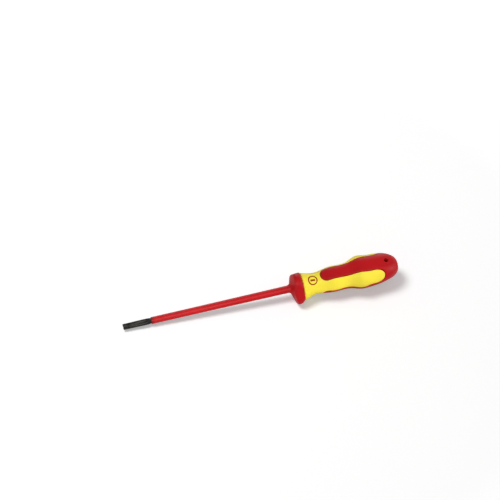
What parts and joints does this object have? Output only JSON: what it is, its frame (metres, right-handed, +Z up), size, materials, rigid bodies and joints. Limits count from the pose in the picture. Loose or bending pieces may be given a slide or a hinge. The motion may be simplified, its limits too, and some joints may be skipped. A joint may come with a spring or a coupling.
{
  "type": "insulated screwdriver",
  "caption": "Insulated slotted screwdriver: sleeved blade bar, guard, and a three-cornered two-colour handle with soft grip and hanging hole.",
  "frame": {"origin": "centre of the bounding box's base: halfway between blade tip and handle end, on the plane the handle's fullest lobe rests on, under the tool's axis", "axes": "+X along the tool towards the handle's end (the tip points along -X), +Z up through the centre of the top red tongue and the hanging hole, blade flats level"},
  "size_m": [0.2476, 0.0304, 0.0306],
  "materials": {
    "tool_steel": "black-oxide finish, satin",
    "sleeve_red": "smooth moulded insulating nylon, slight sheen",
    "handle_red": "moulded, semi-gloss",
    "grip_yellow": "soft moulded elastomer, fine satin"
  },
  "bodies": {
    "root": {"blade": "tool_steel", "blade_sleeve": "sleeve_red", "handle_core": "handle_red", "grip": "grip_yellow"}
  },
  "joints": []
}
